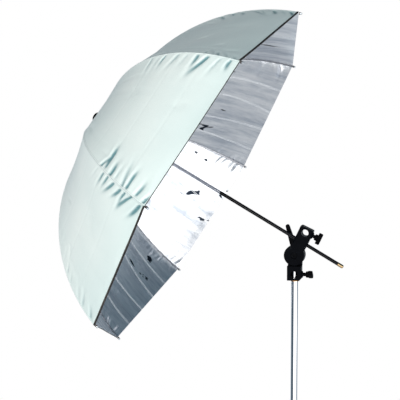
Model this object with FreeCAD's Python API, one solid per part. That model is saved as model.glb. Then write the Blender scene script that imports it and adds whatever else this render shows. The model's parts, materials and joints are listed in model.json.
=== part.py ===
import FreeCAD, Part
import math
import os

from FreeCAD import Matrix, Placement, Rotation, Vector

# An umbrella reflector on its swivel bracket and 5/8 in riser, in millimetres, +Z up.
# The origin is the bottom centre of the riser's foot spigot, and Z runs up the riser.
# The umbrella's shaft lies in the XZ plane: its crown is up at -X and its handle end low at +X.

# ---------------------------------------------------------------- driving dimensions
SPIGOT_R = 7.94  # 5/8 in stud
RISER_FOOT = 50.0  # length of the foot spigot
RISER_FLANGE = 3.0
RISER_WALL = 1.5
SOCKET_DEPTH = 28.0  # that the riser goes into the bracket
BLOCK_BOTTOM = 333.0  # height of the bracket's underside
BLOCK_HALF = 16.0  # half the bracket's width and depth
PIVOT_Z = 390.0  # height of the tilt axis
PIVOT_DISC_R = 23.2
BLOCK_SHOULDER = 24.5  # from the tilt axis to where each block has its full depth
CHEEK_GAP = 0.6  # from the middle plane to each cheek
UPRIGHT_BEVEL = 3.0  # on each block's long edges
BOSS_R = 8.0
BOSS_BEVEL = 1.5
BOLT_R = 4.0
SCREW_R = 3.0
LEVER_LEAN = 17.2  # degrees that the tilt lever leans towards -X
LEVER_END = 26.5  # from the middle plane to the lever hub's outer face
UPPER_LEAN = 25.2  # degrees that the upper block leans towards +X
UPPER_TOP = 69.0  # from the tilt axis to the upper block's top
CROSS_BORE_R = 8.1
UPPER_BORE_UP = 57.2  # from the tilt axis to the upper cross bore
LOWER_BORE_UP = 13.0  # from the underside to the lower cross bore
SHAFT_UP = 33.6  # from the tilt axis to the umbrella shaft, along the upper block
SHAFT_DIP = 30.2  # degrees that the shaft falls towards its handle end
SHAFT_R = 4.0
SHAFT_WALL = 0.6
BLOCK_FROM_RIM = 262.0  # from the rim's plane to the upper block's axis, along the shaft
HANDLE_FROM_RIM = 358.0  # from the rim's plane to the end of the shaft's tube
TIP_LENGTH = 14.0

RIBS = 8
FIRST_RIB = 183.5  # degrees round the shaft from straight below it
RIM_R = 440.0  # to the tips of the ribs
CANOPY_DEPTH = 300.0
CROWN_SLOPE = 14.5  # degrees that the cloth falls from the crown
STRAIGHT = 166.0  # length of each rib, from the crown, that is straight before it bends
CLOTH = 0.8  # thickness of the cloth
CLOTH_GAP = 0.2  # from the middle of a panel to each gore
CLOTH_START = 6.0  # radius of the hole at the crown

RIB_WIDTH = 2.8
RIB_DEPTH = 2.4
FLUTE = 1.2  # width of the groove along the inside of each rib
RIB_BELOW_CLOTH = 1.7  # from the cloth's outside to the rib's outside
RIB_PAST_RIM = 2.4  # that each rib goes past the cloth, into its tip
CROWN_HINGE = Vector(9.0, 0, 9.8)  # a rib's hinge: out from the shaft, and below the crown
STRETCHER_ALONG = 260.0  # along the rib from the crown to the stretcher's pivot
STRETCHER_INSET = 6.5  # from the cloth's outside to the stretcher's pivot

PIN_R = 0.8
PIVOT_HOLE_R = 0.86
RING_R = 0.6
RING_HOLE_R = 0.75
PLATE = 1.3  # thickness of an eye
SLOT = 2.0  # width of the slots that take the eyes
SLIDE_GAP = 0.06  # running clearance round a shaft or screw
FIXED_GAP = 0.04  # between two pieces of one body
RUNNER_R = 6.0
NOTCH_R = 12.0
CATCH_WIDTH = 2.2
CATCH_HEIGHT = 1.4  # that the catch stands out of the shaft

# ---------------------------------------------------------------- worked-out dimensions
SLOPE = math.radians(CROWN_SLOPE)
KNEE = Vector(STRAIGHT * math.cos(SLOPE), 0, STRAIGHT * math.sin(SLOPE))
CHORD = Vector(RIM_R, 0, CANOPY_DEPTH) - KNEE
RIM_SLOPE = 2 * math.atan2(CHORD.z, CHORD.x) - SLOPE
ARC_R = CHORD.Length / 2 / math.sin((RIM_SLOPE - SLOPE) / 2)
ARC_CENTRE = KNEE + Vector(-math.sin(SLOPE), 0, math.cos(SLOPE)) * ARC_R
RIB_LENGTH = STRAIGHT + ARC_R * (RIM_SLOPE - SLOPE)
HALF_STEP = 180.0 / RIBS


def on_rib(along, inset):
    """A point of a rib's plane, by its length along the cloth from the crown and its depth below it."""
    slope = SLOPE + max(0.0, along - STRAIGHT) / ARC_R
    inward = Vector(-math.sin(slope), 0, math.cos(slope))
    if along > STRAIGHT:
        return ARC_CENTRE - inward * (ARC_R - inset)
    return Vector(math.cos(slope), 0, math.sin(slope)) * along + inward * inset


STRETCHER_PIVOT = on_rib(STRETCHER_ALONG, STRETCHER_INSET)
RUNNER_PIVOT = Vector(CROWN_HINGE.x, 0, 2 * STRETCHER_PIVOT.z - CROWN_HINGE.z)
STRETCHER_LENGTH = (STRETCHER_PIVOT - RUNNER_PIVOT).Length

PIVOT = Vector(0, 0, PIVOT_Z)
DIP = math.radians(SHAFT_DIP)
SHAFT_AXIS = Vector(math.cos(DIP), 0, -math.sin(DIP))
SHAFT_BELOW = Vector(-math.sin(DIP), 0, -math.cos(DIP))
LEAN = math.radians(UPPER_LEAN)
BLOCK_CROSSING = PIVOT + Vector(math.sin(LEAN), 0, math.cos(LEAN)) * SHAFT_UP
APEX = BLOCK_CROSSING - SHAFT_AXIS * (BLOCK_FROM_RIM + CANOPY_DEPTH)

X = Vector(1, 0, 0)
Y = Vector(0, 1, 0)
Z = Vector(0, 0, 1)

# the umbrella's own frame: z runs down the shaft from the crown, x is below the shaft
UMBRELLA = Placement(
    Matrix(
        SHAFT_BELOW.x, 0, SHAFT_AXIS.x, APEX.x,
        0, 1, 0, 0,
        SHAFT_BELOW.z, 0, SHAFT_AXIS.z, APEX.z,
        0, 0, 0, 1,
    )
)
UPPER_BLOCK = Placement(PIVOT, Rotation(Y, UPPER_LEAN))


# ---------------------------------------------------------------- helpers
def save(name, shape):
    """Writes one sub-part, after testing that it is one or more closed solids."""
    shape = shape.removeSplitter()
    if not shape.isValid() or not shape.Solids:
        raise ValueError(name + " is not a valid solid")
    shape.exportStep("parts/" + name + ".step")


def placed(shape, placement):
    """A copy of the shape, moved from its own frame to the part's."""
    copy = shape.copy()
    copy.Placement = placement.multiply(copy.Placement)
    return copy


def turned(shape, degrees):
    """A copy of a shape in the umbrella's frame, turned about the shaft."""
    return placed(shape, Placement(Vector(), Rotation(Z, degrees)))


def rod(radius, start, end):
    """A round bar between two points."""
    return Part.makeCylinder(radius, (end - start).Length, start, end - start)


def pipe(outer, inner, start, end):
    """A round tube between two points."""
    return rod(outer, start, end).cut(rod(inner, start, end))


def block(low, high):
    """A box between two corners."""
    size = high - low
    return Part.makeBox(size.x, size.y, size.z, low)


def bevel_upright(shape, size):
    """Bevels the long edges of a box that run along Z."""
    edges = [e for e in shape.Edges if abs(abs(e.tangentAt(e.FirstParameter).z) - 1) < 1e-6]
    return shape.makeChamfer(size, edges)


def plate(points, thickness):
    """A flat plate in the XZ plane, centred on it, from its (x, z) corners."""
    corners = [Vector(x, -thickness / 2, z) for x, z in points]
    return Part.Face(Part.makePolygon(corners + corners[:1])).extrude(Y * thickness)


def disc(centre, radius, thickness):
    """A flat round plate across Y, centred on a point."""
    return Part.makeCylinder(radius, thickness, centre - Y * (thickness / 2), Y)


def spun(points):
    """A solid turned about Z from its (radius, z) corners."""
    corners = [Vector(r, 0, z) for r, z in points]
    return Part.Face(Part.makePolygon(corners + corners[:1])).revolve(Vector(), Z, 360)


# ---------------------------------------------------------------- riser
def riser():
    """A 5/8 in tube with a spigot at its foot, which a light stand or clamp holds."""
    flange_top = RISER_FOOT + RISER_FLANGE
    plug_r = SPIGOT_R - RISER_WALL
    top = BLOCK_BOTTOM + SOCKET_DEPTH - 0.5
    tube = pipe(SPIGOT_R, plug_r, Z * flange_top, Z * top)
    save("riser_tube", tube)

    foot = rod(SPIGOT_R, Vector(), Z * RISER_FOOT)
    foot = foot.makeChamfer(0.4, [foot.Edges[2]])
    foot = foot.fuse(rod(SPIGOT_R + 2.0, Z * RISER_FOOT, Z * flange_top))
    foot = foot.fuse(rod(plug_r, Z * flange_top, Z * (flange_top + 22.0)))
    save("riser_foot_spigot", foot)

    ring_top = BLOCK_BOTTOM - 0.1
    ring = pipe(SPIGOT_R + 0.9, SPIGOT_R + FIXED_GAP, Z * (ring_top - 2.6), Z * ring_top)
    save("riser_seat_ring", ring)


# ---------------------------------------------------------------- bracket
def knob(reach):
    """A T-shaped clamp knob along +X, from its neck at x = 0, and its screw's hole."""
    neck = rod(4.2, Vector(), X * reach)
    hub = rod(7.2, X * reach, X * (reach + 7.0))
    hub = hub.makeChamfer(1.0, [hub.Edges[0], hub.Edges[2]])
    half = 13.5
    end_r = 5.6
    start = reach + 6.0
    end = start + 9.5
    bar = block(Vector(start, -end_r, -half + end_r), Vector(end, end_r, half - end_r))
    for side in (-1, 1):
        offset = Z * (side * (half - end_r))
        bar = bar.fuse(rod(end_r, X * start + offset, X * end + offset))
    bar = bar.removeSplitter()
    outer = [e for e in bar.Edges if e.CenterOfMass.x > end - 0.1]
    bar = bar.makeFillet(2.2, outer)
    whole = neck.fuse(hub).fuse(bar)
    return whole.cut(rod(SCREW_R + FIXED_GAP, Vector(), X * (reach + 10.0)))


def clamp_screw(inner, outer):
    """A knob's screw along +X, with a rounded nose."""
    screw = rod(SCREW_R, X * inner, X * outer)
    return screw.makeChamfer(0.8, [e for e in screw.Edges if e.CenterOfMass.x < inner + 0.01])


def lower_bracket():
    """The lower block: a socket on the riser, a clamp boss and the far cheek of the tilt."""
    shoulder = PIVOT_Z - BLOCK_SHOULDER
    bore_z = BLOCK_BOTTOM + LOWER_BORE_UP
    body = block(
        Vector(-BLOCK_HALF, -BLOCK_HALF, BLOCK_BOTTOM), Vector(BLOCK_HALF, BLOCK_HALF, shoulder)
    )
    body = bevel_upright(body, UPRIGHT_BEVEL)
    corner = plate(
        [(BLOCK_HALF - 5, BLOCK_BOTTOM - 1), (BLOCK_HALF + 1, BLOCK_BOTTOM - 1),
         (BLOCK_HALF + 1, BLOCK_BOTTOM + 5)],
        4 * BLOCK_HALF,
    )
    body = body.cut(corner)
    cheek_start = Vector(0, CHEEK_GAP, PIVOT_Z)
    cheek_end = Vector(0, BLOCK_HALF, PIVOT_Z)
    cheek = rod(PIVOT_DISC_R, cheek_start, cheek_end)
    cheek = cheek.makeChamfer(1.2, [e for e in cheek.Edges if e.CenterOfMass.y > BLOCK_HALF - 0.1])
    neck = block(
        Vector(-BLOCK_HALF, CHEEK_GAP, shoulder - 1), Vector(BLOCK_HALF, BLOCK_HALF, PIVOT_Z - 5)
    )
    body = body.fuse(cheek).fuse(neck)
    boss = rod(BOSS_R, Vector(BLOCK_HALF - 1, 0, bore_z), Vector(BLOCK_HALF + 3, 0, bore_z))
    end = [e for e in boss.Edges if e.CenterOfMass.x > BLOCK_HALF + 2.9]
    boss = boss.makeChamfer(BOSS_BEVEL, end)
    body = body.fuse(boss)
    socket_top = Z * (BLOCK_BOTTOM + SOCKET_DEPTH)
    socket = rod(SPIGOT_R + SLIDE_GAP, Z * (BLOCK_BOTTOM - 1), socket_top)
    across = rod(
        CROSS_BORE_R, Vector(0, -BLOCK_HALF - 1, bore_z), Vector(0, BLOCK_HALF + 1, bore_z)
    )
    level = Z * bore_z
    screw_hole = rod(SCREW_R + SLIDE_GAP, level, level + X * (BLOCK_HALF + 4))
    bolt_hole = rod(BOLT_R + FIXED_GAP, PIVOT, PIVOT + Y * (BLOCK_HALF + 1))
    for hole in (socket, across, screw_hole, bolt_hole):
        body = body.cut(hole)
    save("lower_socket_body", body)

    bolt = rod(BOLT_R, PIVOT - Y * 12.0, PIVOT + Y * (LEVER_END + 0.5))
    head = rod(7.2, PIVOT - Y * 15.6, PIVOT - Y * 12.0)
    head = head.makeChamfer(0.8, [e for e in head.Edges if e.CenterOfMass.y < -15.5])
    recess = rod(2.6, PIVOT - Y * 16.0, PIVOT - Y * 13.2)
    bore = rod(2.5, PIVOT + Y * 17.0, PIVOT + Y * (LEVER_END + 1.5))
    save("tilt_pivot_bolt", bolt.fuse(head).cut(recess).cut(bore))

    thickness = 2 * CHEEK_GAP - 0.2
    hole = disc(PIVOT, BOLT_R + 0.4, thickness)
    save("tilt_friction_disc", disc(PIVOT, 20.0, thickness).cut(hole))

    neck_start = BLOCK_HALF + 3.3
    place = Placement(Vector(neck_start, 0, bore_z), Rotation(X, 60.0))
    save("riser_clamp_knob", placed(knob(6.5), place))
    place = Placement(Vector(0, 0, bore_z), Rotation())
    save("riser_clamp_screw", placed(clamp_screw(SPIGOT_R + 0.12, neck_start + 16.5), place))


def upper_bracket():
    """The upper block: the near cheek of the tilt, the shaft's hole and a cross bore."""
    half = BLOCK_HALF - 0.25
    body = block(Vector(-half, -BLOCK_HALF, BLOCK_SHOULDER), Vector(half, BLOCK_HALF, UPPER_TOP))
    body = bevel_upright(body, UPRIGHT_BEVEL)
    top = [e for e in body.Edges if e.CenterOfMass.z > UPPER_TOP - 0.01]
    body = body.makeChamfer(1.5, top)
    cheek = rod(PIVOT_DISC_R, Y * -BLOCK_HALF, Y * -CHEEK_GAP)
    cheek = cheek.makeChamfer(1.2, [e for e in cheek.Edges if e.CenterOfMass.y < 0.1 - BLOCK_HALF])
    neck = block(Vector(-half, -BLOCK_HALF, 8.0), Vector(half, -CHEEK_GAP, BLOCK_SHOULDER + 1))
    body = body.fuse(cheek).fuse(neck)
    level = Z * UPPER_BORE_UP
    boss = rod(BOSS_R, level + X * (half - 1), level + X * (half + 2.8))
    end = [e for e in boss.Edges if e.CenterOfMass.x > half + 2.7]
    boss = boss.makeChamfer(BOSS_BEVEL, end)
    body = body.fuse(boss)
    across = rod(CROSS_BORE_R, level - Y * (BLOCK_HALF + 1), level + Y * (BLOCK_HALF + 1))
    screw_hole = rod(SCREW_R + SLIDE_GAP, level, level + X * (half + 4))
    bolt_hole = rod(BOLT_R + SLIDE_GAP, Y * -BLOCK_HALF, Vector())
    head_hole = rod(7.5, Y * (-BLOCK_HALF - 1), Y * -11.8)
    fall = math.radians(SHAFT_DIP - UPPER_LEAN)
    along = Vector(math.cos(fall), 0, -math.sin(fall))
    middle = Z * SHAFT_UP
    shaft_hole = rod(SHAFT_R + SLIDE_GAP, middle - along * 30, middle + along * 30)
    plug_hole = rod(SCREW_R, middle, middle + Y * (BLOCK_HALF + 1))
    for hole in (across, screw_hole, bolt_hole, head_hole, shaft_hole, plug_hole):
        body = body.cut(hole)
    save("upper_socket_body", placed(body, UPPER_BLOCK))

    plug_r = SCREW_R - FIXED_GAP
    plug = rod(plug_r, middle, middle + Y * 9.0)
    plug = plug.cut(rod(SHAFT_R + SLIDE_GAP, middle - along * 30, middle + along * 30))
    save("shaft_friction_plug", placed(plug, UPPER_BLOCK))
    screw = rod(plug_r, middle + Y * 9.2, middle + Y * (BLOCK_HALF - 0.6))
    screw = screw.cut(rod(1.5, middle + Y * (BLOCK_HALF - 3.5), middle + Y * BLOCK_HALF))
    save("shaft_friction_screw", placed(screw, UPPER_BLOCK))

    start = half + 3.1
    place = UPPER_BLOCK.multiply(Placement(level + X * start, Rotation()))
    save("accessory_clamp_knob", placed(knob(4.0), place))
    place = UPPER_BLOCK.multiply(Placement(level, Rotation()))
    screw = clamp_screw(CROSS_BORE_R + 0.4, start + 14.0)
    save("accessory_clamp_screw", placed(screw, place))


def tilt_lever():
    """The tilt lock's lever on the far side, and the screw that holds it."""
    near = BLOCK_HALF + 0.5
    hub = rod(9.0, Y * near, Y * LEVER_END)
    hub = hub.makeChamfer(1.0, [e for e in hub.Edges if e.CenterOfMass.y > LEVER_END - 0.1])
    reach = 66.0
    tip_r = 4.5
    root_r = 8.0
    inner = near + 1.5
    outer = near + 9.0
    outline = plate([(-root_r, 0), (root_r, 0), (tip_r, reach), (-tip_r, reach)], outer - inner)
    outline.translate(Y * ((inner + outer) / 2))
    end = rod(tip_r, Vector(0, inner, reach), Vector(0, outer, reach))
    lever = hub.fuse(outline).fuse(end).removeSplitter()
    rim = [e for e in lever.Edges if abs(e.CenterOfMass.y - outer) < 0.01 and e.Length > 8]
    lever = lever.makeChamfer(0.9, [e for e in rim if e.CenterOfMass.z > 12])
    lever = lever.cut(rod(BOLT_R + SLIDE_GAP, Y * (near - 1), Y * (LEVER_END + 1.5)))
    place = Placement(PIVOT, Rotation(Y, -LEVER_LEAN))
    save("tilt_lock_lever", placed(lever, place))

    head = LEVER_END + 0.7
    screw = rod(6.0, Y * head, Y * (head + 2.4))
    screw = screw.makeChamfer(0.7, [e for e in screw.Edges if e.CenterOfMass.y > head + 2.3])
    screw = screw.fuse(rod(2.4, Y * 18.0, Y * head))
    screw = screw.cut(rod(1.6, Y * (head + 1.0), Y * (head + 3.0)))
    save("lever_screw", placed(screw, place))


# ---------------------------------------------------------------- umbrella shaft
def shaft():
    """The shaft's tube and tip, the crown's notch, ring, washer and cap, and a stop pin."""
    end = CANOPY_DEPTH + HANDLE_FROM_RIM
    top = -3.0
    tube = pipe(SHAFT_R, SHAFT_R - SHAFT_WALL, Z * top, Z * end)
    catch_top = RUNNER_PIVOT.z + 51.0
    window = block(
        Vector(SHAFT_R - 2, -CATCH_WIDTH / 2 - 0.15, catch_top - 0.5),
        Vector(SHAFT_R + 1, CATCH_WIDTH / 2 + 0.15, catch_top + 20.5),
    )
    stop_z = RUNNER_PIVOT.z - 10.0
    stop = rod(1.0, Vector(0, -SHAFT_R - 1.3, stop_z), Vector(0, SHAFT_R + 1.3, stop_z))
    save("shaft_tube", placed(tube.cut(window).cut(stop), UMBRELLA))
    save("runner_stop_pin", placed(stop, UMBRELLA))

    tip = rod(SHAFT_R + 0.2, Z * end, Z * (end + TIP_LENGTH))
    tip = tip.makeFillet(3.0, [e for e in tip.Edges if e.CenterOfMass.z > end + TIP_LENGTH - 0.1])
    tip = tip.fuse(rod(SHAFT_R - SHAFT_WALL, Z * (end - 12), Z * end))
    save("shaft_end_tip", placed(tip, UMBRELLA))

    bore_r = SHAFT_R + FIXED_GAP
    notch = pipe(NOTCH_R, bore_r, Z * 5.0, Z * 14.0)
    notch = notch.fuse(pipe(6.5, bore_r, Z * 14.0, Z * 21.0))
    groove = RING_R + 0.05
    notch = notch.cut(
        pipe(
            NOTCH_R + 1,
            CROWN_HINGE.x - groove,
            Z * (CROWN_HINGE.z - groove),
            Z * (CROWN_HINGE.z + groove),
        )
    )
    for k in range(RIBS):
        slot = block(Vector(CROWN_HINGE.x - 2.1, -SLOT / 2, 4), Vector(NOTCH_R + 1, SLOT / 2, 15))
        notch = notch.cut(turned(slot, FIRST_RIB + 2 * HALF_STEP * k))
    save("crown_notch", placed(notch, UMBRELLA))

    ring = Part.makeTorus(CROWN_HINGE.x, RING_R, Z * CROWN_HINGE.z, Z)
    save("crown_ring", placed(ring, UMBRELLA))
    fall = math.tan(SLOPE)
    washer = [(r, r * fall - over) for r, over in ((bore_r, 1.0), (14, 1.0), (14, 0.2), (bore_r, 0.2))]
    save("crown_washer", placed(spun(washer), UMBRELLA))
    cap = spun([(0, -6.0), (7.6, -6.0), (11, -3.4), (11, 11 * fall - 1.15), (0, -1.15)])
    save("crown_cap", placed(cap.cut(rod(bore_r, Z * top, Z * 0)), UMBRELLA))


def catch():
    """The leaf catch that stands out of the shaft below the open runner."""
    start = RUNNER_PIVOT.z + 51.0
    out = SHAFT_R + CATCH_HEIGHT
    inner = 1.7
    end = start + 20
    corners = [(inner, start), (out, start), (out, start + 4), (SHAFT_R - 0.4, end), (inner, end)]
    leaf = plate(corners, CATCH_WIDTH)
    save("runner_catch", placed(leaf, UMBRELLA))


def runner():
    """The sliding runner: a slotted disc for the stretchers, a sleeve and a thumb flange."""
    at = RUNNER_PIVOT.z
    sleeve = rod(RUNNER_R, Z * (at - 8.0), Z * (at + 50.0))
    notch = rod(NOTCH_R, Z * (at - 4.0), Z * (at + 4.0))
    flange = rod(11.5, Z * (at + 38.0), Z * (at + 42.0))
    flange = flange.makeFillet(1.8, flange.Edges[:1] + flange.Edges[2:3])
    grip = rod(8.2, Z * (at + 42.0), Z * (at + 50.0))
    grip = grip.makeChamfer(1.0, [e for e in grip.Edges if e.CenterOfMass.z > at + 49.9])
    body = sleeve.fuse(notch).fuse(flange).fuse(grip)
    body = body.cut(rod(SHAFT_R + SLIDE_GAP, Z * (at - 9.0), Z * (at + 51.0)))
    keyway = block(
        Vector(0, -CATCH_WIDTH / 2 - 0.2, at - 9.0),
        Vector(SHAFT_R + CATCH_HEIGHT + 0.15, CATCH_WIDTH / 2 + 0.2, at + 51.0),
    )
    body = body.cut(keyway)
    for k in range(RIBS):
        slot = block(
            Vector(RUNNER_PIVOT.x - 2.1, -SLOT / 2, at - 5), Vector(NOTCH_R + 1, SLOT / 2, at + 5)
        )
        body = body.cut(turned(slot, FIRST_RIB + 2 * HALF_STEP * k))
    save("runner", placed(body, UMBRELLA))


# ---------------------------------------------------------------- ribs, stretchers, cloth
def rib_section(along, grown=0.0):
    """The rib's fluted profile, square to it, at a length along it, and grown all round."""
    half = RIB_WIDTH / 2 + grown
    flute = FLUTE / 2 - grown
    top = RIB_BELOW_CLOTH - grown
    bottom = RIB_BELOW_CLOTH + RIB_DEPTH + grown
    roof = RIB_BELOW_CLOTH + 0.9 + grown
    profile = [
        (-half, top),
        (half, top),
        (half, bottom),
        (flute, bottom),
        (flute, roof),
        (-flute, roof),
        (-flute, bottom),
        (-half, bottom),
    ]
    corners = [on_rib(along, inset) + Y * y for y, inset in profile]
    return Part.Face(Part.makePolygon(corners + corners[:1]))


def rib():
    """A fluted rib in its own plane, with an eye at the crown and a lug for the stretcher."""
    start = (NOTCH_R + 2.2) / math.cos(SLOPE)
    strip = rib_section(start).extrude(on_rib(STRAIGHT, 0) - on_rib(start, 0))
    bend = math.degrees(RIM_SLOPE - SLOPE + RIB_PAST_RIM / ARC_R)
    strip = strip.fuse(rib_section(STRAIGHT).revolve(ARC_CENTRE, -Y, bend))

    eye = disc(CROWN_HINGE, 1.8, PLATE)
    arm = [(8.0, 8.3), (10.2, 6.4), (22, 7.95), (22, 9.45), (13.6, 8.6), (10.3, 11.0)]
    hole = disc(CROWN_HINGE, RING_HOLE_R, 2 * PLATE)
    lug_r = 1.7
    lug = disc(STRETCHER_PIVOT, lug_r, FLUTE)
    foot_inset = RIB_BELOW_CLOTH + 1.2
    corners = [
        on_rib(STRETCHER_ALONG - lug_r, STRETCHER_INSET),
        on_rib(STRETCHER_ALONG - 2 * lug_r, foot_inset),
        on_rib(STRETCHER_ALONG + 2 * lug_r, foot_inset),
        on_rib(STRETCHER_ALONG + lug_r, STRETCHER_INSET),
    ]
    lug = lug.fuse(plate([(p.x, p.z) for p in corners], FLUTE))
    lug_hole = disc(STRETCHER_PIVOT, PIVOT_HOLE_R, 2 * FLUTE)
    return strip.fuse(eye).fuse(plate(arm, PLATE)).fuse(lug).cut(hole).cut(lug_hole)


def rib_tip():
    """The cap on a rib's outer end, with a socket for the rib's end."""
    middle = RIB_BELOW_CLOTH + RIB_DEPTH / 2
    start = on_rib(RIB_LENGTH + 1.0, middle)
    way = (on_rib(RIB_LENGTH + 1.1, middle) - start).normalize()
    length = 7.0
    cap = rod(2.3, start, start + way * length)
    far = [e for e in cap.Edges if (e.CenterOfMass - start).Length > length - 0.1]
    deep = math.degrees((RIB_PAST_RIM + FIXED_GAP) / ARC_R)
    socket = rib_section(RIB_LENGTH, FIXED_GAP).revolve(ARC_CENTRE, -Y, deep)
    return cap.makeFillet(1.9, far).cut(socket)


def stretcher():
    """A stretcher in its rib's plane: a strip with an eye, a fork and the fork's rivet."""
    length = STRETCHER_LENGTH
    strip = block(Vector(9, -1.4, -1.1), Vector(length - 5, 1.4, 1.1))
    eye = disc(Vector(), 1.8, PLATE)
    arm = block(Vector(0, -PLATE / 2, -1.1), Vector(11, PLATE / 2, 1.1))
    end = X * length
    fork_out = 1.8
    fork_in = 0.95
    fork = disc(end, 1.7, 2 * fork_out)
    fork = fork.fuse(block(Vector(length - 7, -fork_out, -1.1), Vector(length, fork_out, 1.1)))
    gap = block(Vector(length - 4.5, -fork_in, -3), Vector(length + 3, fork_in, 3))
    fork = fork.cut(gap)
    rivet = disc(end, PIN_R, 2 * fork_out + 0.8)
    for side in (-1, 1):
        head = end + Y * (side * (fork_out + 0.2))
        rivet = rivet.fuse(disc(head, 1.3, 0.4))
    whole = strip.fuse(eye).fuse(arm).fuse(fork).fuse(rivet)
    whole = whole.cut(disc(Vector(), PIVOT_HOLE_R, 2 * PLATE))
    way = STRETCHER_PIVOT - RUNNER_PIVOT
    rise = math.degrees(math.atan2(way.z, way.x))
    return placed(whole, Placement(RUNNER_PIVOT, Rotation(Y, -rise)))


def half_gore():
    """The cloth from a rib to the middle of the next panel, which is straight across."""
    narrow = math.cos(math.radians(HALF_STEP))
    centre = Vector(ARC_CENTRE.x * narrow, 0, ARC_CENTRE.z)
    edges = []
    ends = []
    for inset in (0.0, CLOTH):
        step = Vector(-math.sin(SLOPE), 0, math.cos(SLOPE)) * inset
        first = Vector(CLOTH_START, 0, CLOTH_START / narrow * math.tan(SLOPE)) + step
        knee = Vector(KNEE.x * narrow, 0, KNEE.z) + step
        major = centre - Z * (ARC_R - inset)
        minor = centre + X * (ARC_R * narrow - inset)
        arc = Part.ArcOfEllipse(Part.Ellipse(major, minor, centre), SLOPE, RIM_SLOPE).toShape()
        edges += [Part.makeLine(first, knee), arc]
        ends.append((first, arc.Vertexes[1].Point))
    edges += [Part.makeLine(a, b) for a, b in zip(*ends)]
    wire = Part.Wire(Part.__sortEdges__(edges))
    reach = RIM_R * math.sin(math.radians(HALF_STEP)) + 20
    panel = Part.Face(wire).extrude(Y * reach)
    panel.translate(Y * -(reach + CLOTH_GAP))
    panel = turned(panel, HALF_STEP)
    keep = block(Vector(0, 0, -10), Vector(RIM_R + 20, RIM_R, CANOPY_DEPTH + 20))
    return panel.common(keep)


def canopy():
    """The ribs with their tips, stretchers and gores of cloth."""
    one_rib = rib()
    one_tip = rib_tip()
    one_stretcher = stretcher()
    one_half = half_gore()
    gore = one_half.fuse(one_half.mirror(Vector(), Y))
    for k in range(RIBS):
        around = FIRST_RIB + 2 * HALF_STEP * k
        number = str(k + 1)
        save("rib_" + number, placed(turned(one_rib, around), UMBRELLA))
        save("rib_tip_" + number, placed(turned(one_tip, around), UMBRELLA))
        save("stretcher_" + number, placed(turned(one_stretcher, around), UMBRELLA))
        save("canopy_gore_" + number, placed(turned(gore, around), UMBRELLA))


os.makedirs("parts", exist_ok=True)
riser()
lower_bracket()
upper_bracket()
tilt_lever()
shaft()
catch()
runner()
canopy()
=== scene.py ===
import json
import math

import bpy
import numpy as np
from mathutils import Matrix, Vector


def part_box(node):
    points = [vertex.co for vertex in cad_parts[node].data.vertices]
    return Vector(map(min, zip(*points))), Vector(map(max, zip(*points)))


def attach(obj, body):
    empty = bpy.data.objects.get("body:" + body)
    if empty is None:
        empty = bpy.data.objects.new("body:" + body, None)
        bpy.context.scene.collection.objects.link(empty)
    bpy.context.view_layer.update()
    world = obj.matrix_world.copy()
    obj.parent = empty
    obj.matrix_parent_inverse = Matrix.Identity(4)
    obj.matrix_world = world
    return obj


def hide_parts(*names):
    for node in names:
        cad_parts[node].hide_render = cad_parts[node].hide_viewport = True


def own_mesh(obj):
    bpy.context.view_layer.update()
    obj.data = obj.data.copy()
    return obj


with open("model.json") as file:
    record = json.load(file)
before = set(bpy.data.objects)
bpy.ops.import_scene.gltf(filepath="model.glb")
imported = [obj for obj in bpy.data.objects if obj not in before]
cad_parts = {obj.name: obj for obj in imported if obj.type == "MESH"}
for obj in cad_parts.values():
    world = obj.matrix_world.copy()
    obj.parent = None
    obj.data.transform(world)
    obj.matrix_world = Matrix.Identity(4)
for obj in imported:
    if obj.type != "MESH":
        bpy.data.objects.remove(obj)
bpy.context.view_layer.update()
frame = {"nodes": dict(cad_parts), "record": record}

# ---------------------------------------------------------------- sizes, in metres
RIBS = 8
FIRST_RIB = 183.5  # degrees round the shaft from straight below it
RIM_R = 0.440
CANOPY_DEPTH = 0.300
CLOTH = 0.0008
CROWN_SLOPE = math.radians(14.5)
STRAIGHT = 0.166  # length of each rib, from the crown, that is straight before it bends
HALF_STEP = math.pi / RIBS
CROWN_HOLE_R = 0.006
HEM = 0.0042  # width of the turned hem along the rim
SHADED_HEM_PANELS = (0, 2)  # panels whose whole hem is dark, the binding widened into painted shade; on the others only its edge is dark binding
PAINT_FROM_CROWN = 0.345  # where the shaft's black paint starts
HINGE_DOWN = 0.0098  # and below the crown

CHORD_OUT = RIM_R - STRAIGHT * math.cos(CROWN_SLOPE)
CHORD_DOWN = CANOPY_DEPTH - STRAIGHT * math.sin(CROWN_SLOPE)
RIM_SLOPE = 2 * math.atan2(CHORD_DOWN, CHORD_OUT) - CROWN_SLOPE
BEND_R = math.hypot(CHORD_OUT, CHORD_DOWN) / 2 / math.sin((RIM_SLOPE - CROWN_SLOPE) / 2)
RIB_LENGTH = STRAIGHT + BEND_R * (RIM_SLOPE - CROWN_SLOPE)


def profile(s):
    """The slope, radius and depth of the cloth over a rib, by the length along it from the crown."""
    slope = CROWN_SLOPE + np.clip(s - STRAIGHT, 0, None) / BEND_R
    near = np.minimum(s, STRAIGHT)
    out = near * math.cos(CROWN_SLOPE) + BEND_R * (np.sin(slope) - math.sin(CROWN_SLOPE))
    down = near * math.sin(CROWN_SLOPE) + BEND_R * (math.cos(CROWN_SLOPE) - np.cos(slope))
    return slope, out, down


def joint(name):
    """The record's joint of that name."""
    return next(j for j in frame["record"]["behaviour"]["joints"] if j["name"] == name)


# the umbrella's own axes: DOWN runs along the shaft from the crown, BELOW is under the shaft
DOWN = np.array(joint("shaft_slide")["axis"], float)
ACROSS = np.array([0.0, 1.0, 0.0])
BELOW = np.cross(ACROSS, DOWN)
hinges = [np.array(joint(f"rib_{k + 1}_fold")["pos_m"], float) for k in range(RIBS)]
APEX = np.mean(hinges, axis=0) - DOWN * HINGE_DOWN


def heading(angle):
    """The direction away from the shaft at an angle round it."""
    return math.cos(angle) * BELOW + math.sin(angle) * ACROSS


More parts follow.
